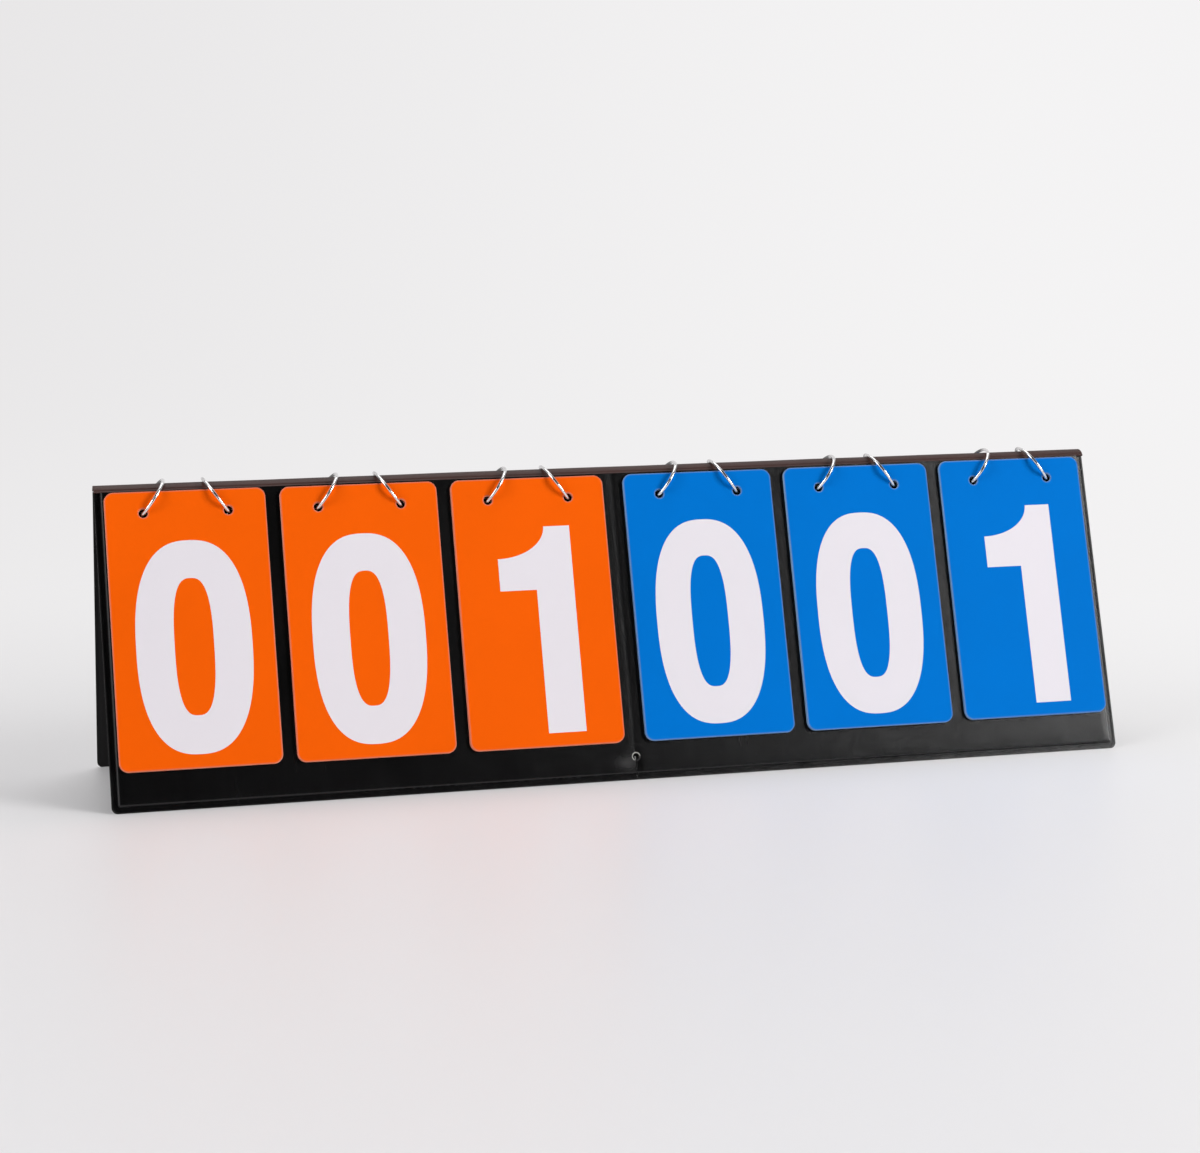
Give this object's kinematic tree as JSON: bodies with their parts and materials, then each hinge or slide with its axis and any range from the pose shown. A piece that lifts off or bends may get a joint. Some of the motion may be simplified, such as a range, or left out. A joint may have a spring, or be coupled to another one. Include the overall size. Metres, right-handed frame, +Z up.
{
  "type": "tabletop flip scoreboard",
  "caption": "Tent of two vinyl-covered panels with six columns of plastic number cards on metal snap rings, turned over the ridge to keep score.",
  "frame": {"origin": "On the table, midway along the ridge and midway between the two feet.", "axes": "+X runs along the ridge to the blue columns, +Y from the front panel to the back panel, +Z up."},
  "size_m": [0.57, 0.119, 0.1693],
  "materials": {
    "cover_vinyl": "black PVC leatherette with a fine pebble grain, satin",
    "lining_vinyl": "black PVC lining, finer grain, a little duller than the outside",
    "ridge_vinyl": "black PVC leatherette, stretched smooth over the ridge",
    "greyboard": "recycled greyboard, sealed inside the vinyl",
    "orange_card": "orange printed plastic sheet, satin",
    "blue_card": "blue printed plastic sheet, satin",
    "ring_chrome": "nickel-plated steel wire"
  },
  "bodies": {
    "root": {"front_cover": "cover_vinyl", "front_liner": "lining_vinyl", "front_board_left": "greyboard", "front_board_right": "greyboard", "ridge_spine": "ridge_vinyl", "deck_1": "orange_card", "deck_2": "orange_card", "deck_3": "orange_card", "deck_4": "blue_card", "deck_5": "blue_card", "deck_6": "blue_card"},
    "back_panel": {"back_cover": "cover_vinyl", "back_liner": "lining_vinyl", "back_board_left": "greyboard", "back_board_right": "greyboard"},
    "top_card_1": {"top_card_1": "orange_card"},
    "top_card_2": {"top_card_2": "orange_card"},
    "top_card_3": {"top_card_3": "orange_card"},
    "top_card_4": {"top_card_4": "blue_card"},
    "top_card_5": {"top_card_5": "blue_card"},
    "top_card_6": {"top_card_6": "blue_card"},
    "turned_card_3": {"turned_card_3": "orange_card"},
    "turned_card_6": {"turned_card_6": "blue_card"},
    "ring_1_left": {"ring_1_left": "ring_chrome"},
    "ring_1_right": {"ring_1_right": "ring_chrome"},
    "ring_2_left": {"ring_2_left": "ring_chrome"},
    "ring_2_right": {"ring_2_right": "ring_chrome"},
    "ring_3_left": {"ring_3_left": "ring_chrome"},
    "ring_3_right": {"ring_3_right": "ring_chrome"},
    "ring_4_left": {"ring_4_left": "ring_chrome"},
    "ring_4_right": {"ring_4_right": "ring_chrome"},
    "ring_5_left": {"ring_5_left": "ring_chrome"},
    "ring_5_right": {"ring_5_right": "ring_chrome"},
    "ring_6_left": {"ring_6_left": "ring_chrome"},
    "ring_6_right": {"ring_6_right": "ring_chrome"}
  },
  "joints": [
    {"name": "frame_fold", "type": "hinge", "parent": "root", "child": "back_panel", "pos_m": [0, 0, 0.16266], "axis": [-1, 0, 0], "range_deg": [0, 37.2], "deforming": ["ridge_spine"]},
    {"name": "ring_1_left_swing", "type": "hinge", "parent": "root", "child": "ring_1_left", "pos_m": [-0.2597, -0.01132, 0.15175], "axis": [0.1666, -0.9845, -0.0541], "range_deg": [0, 36.54]},
    {"name": "ring_1_right_swing", "type": "hinge", "parent": "root", "child": "ring_1_right", "pos_m": [-0.2143, -0.01132, 0.15175], "axis": [0.1666, 0.9845, 0.0541], "range_deg": [0, 36.54]},
    {"name": "ring_2_left_swing", "type": "hinge", "parent": "root", "child": "ring_2_left", "pos_m": [-0.1657, -0.01132, 0.15142], "axis": [0.1803, -0.9819, -0.0586], "range_deg": [0, 36.63]},
    {"name": "ring_2_right_swing", "type": "hinge", "parent": "root", "child": "ring_2_right", "pos_m": [-0.1203, -0.01132, 0.15142], "axis": [0.1803, 0.9819, 0.0586], "range_deg": [0, 36.63]},
    {"name": "ring_3_left_swing", "type": "hinge", "parent": "root", "child": "ring_3_left", "pos_m": [-0.0717, -0.01132, 0.15132], "axis": [0.1842, -0.9811, -0.0599], "range_deg": [0, 36.66]},
    {"name": "ring_3_right_swing", "type": "hinge", "parent": "root", "child": "ring_3_right", "pos_m": [-0.0263, -0.01132, 0.15132], "axis": [0.1842, 0.9811, 0.0599], "range_deg": [0, 36.66]},
    {"name": "ring_4_left_swing", "type": "hinge", "parent": "root", "child": "ring_4_left", "pos_m": [0.0263, -0.01132, 0.15118], "axis": [0.19, -0.9798, -0.0617], "range_deg": [0, 36.7]},
    {"name": "ring_4_right_swing", "type": "hinge", "parent": "root", "child": "ring_4_right", "pos_m": [0.0717, -0.01132, 0.15118], "axis": [0.19, 0.9798, 0.0617], "range_deg": [0, 36.7]},
    {"name": "ring_5_left_swing", "type": "hinge", "parent": "root", "child": "ring_5_left", "pos_m": [0.1203, -0.01132, 0.15118], "axis": [0.19, -0.9798, -0.0617], "range_deg": [0, 36.7]},
    {"name": "ring_5_right_swing", "type": "hinge", "parent": "root", "child": "ring_5_right", "pos_m": [0.1657, -0.01132, 0.15118], "axis": [0.19, 0.9798, 0.0617], "range_deg": [0, 36.7]},
    {"name": "ring_6_left_swing", "type": "hinge", "parent": "root", "child": "ring_6_left", "pos_m": [0.2143, -0.01132, 0.15165], "axis": [0.1706, -0.9838, -0.0554], "range_deg": [0, 36.56]},
    {"name": "ring_6_right_swing", "type": "hinge", "parent": "root", "child": "ring_6_right", "pos_m": [0.2597, -0.01132, 0.15165], "axis": [0.1706, 0.9838, 0.0554], "range_deg": [0, 36.56]},
    {"name": "card_1_flip", "type": "hinge", "parent": "root", "child": "top_card_1", "pos_m": [-0.237, 0.00188, 0.18552], "axis": [1, 0, 0], "range_deg": [-322.8, 0], "deforming": ["ring_1_left", "ring_1_right"]},
    {"name": "card_2_flip", "type": "hinge", "parent": "root", "child": "top_card_2", "pos_m": [-0.143, 0.00188, 0.18552], "axis": [1, 0, 0], "range_deg": [-322.8, 0], "deforming": ["ring_2_left", "ring_2_right"]},
    {"name": "card_3_flip", "type": "hinge", "parent": "root", "child": "top_card_3", "pos_m": [-0.049, 0.00188, 0.18552], "axis": [1, 0, 0], "range_deg": [-322.8, 0], "deforming": ["ring_3_left", "ring_3_right"]},
    {"name": "card_4_flip", "type": "hinge", "parent": "root", "child": "top_card_4", "pos_m": [0.049, 0.00188, 0.18552], "axis": [1, 0, 0], "range_deg": [-322.8, 0], "deforming": ["ring_4_left", "ring_4_right"]},
    {"name": "card_5_flip", "type": "hinge", "parent": "root", "child": "top_card_5", "pos_m": [0.143, 0.00188, 0.18552], "axis": [1, 0, 0], "range_deg": [-322.8, 0], "deforming": ["ring_5_left", "ring_5_right"]},
    {"name": "card_6_flip", "type": "hinge", "parent": "root", "child": "top_card_6", "pos_m": [0.237, 0.00188, 0.18552], "axis": [1, 0, 0], "range_deg": [-322.8, 0], "deforming": ["ring_6_left", "ring_6_right"]},
    {"name": "turned_card_3_flip", "type": "hinge", "parent": "back_panel", "child": "turned_card_3", "pos_m": [-0.049, 0.00188, 0.18547], "axis": [-1, 0, 0], "range_deg": [-322.8, 0]},
    {"name": "turned_card_6_flip", "type": "hinge", "parent": "back_panel", "child": "turned_card_6", "pos_m": [0.237, 0.00188, 0.18547], "axis": [-1, 0, 0], "range_deg": [-322.8, 0]}
  ],
  "couplings": [
    {"joint": "ring_1_left_swing", "follows": "frame_fold", "ratio": 0.98194},
    {"joint": "ring_1_right_swing", "follows": "frame_fold", "ratio": 0.98194},
    {"joint": "ring_2_left_swing", "follows": "frame_fold", "ratio": 0.98444},
    {"joint": "ring_2_right_swing", "follows": "frame_fold", "ratio": 0.98444},
    {"joint": "ring_3_left_swing", "follows": "frame_fold", "ratio": 0.98519},
    {"joint": "ring_3_right_swing", "follows": "frame_fold", "ratio": 0.98519},
    {"joint": "ring_4_left_swing", "follows": "frame_fold", "ratio": 0.98634},
    {"joint": "ring_4_right_swing", "follows": "frame_fold", "ratio": 0.98634},
    {"joint": "ring_5_left_swing", "follows": "frame_fold", "ratio": 0.98634},
    {"joint": "ring_5_right_swing", "follows": "frame_fold", "ratio": 0.98634},
    {"joint": "ring_6_left_swing", "follows": "frame_fold", "ratio": 0.98264},
    {"joint": "ring_6_right_swing", "follows": "frame_fold", "ratio": 0.98264}
  ]
}
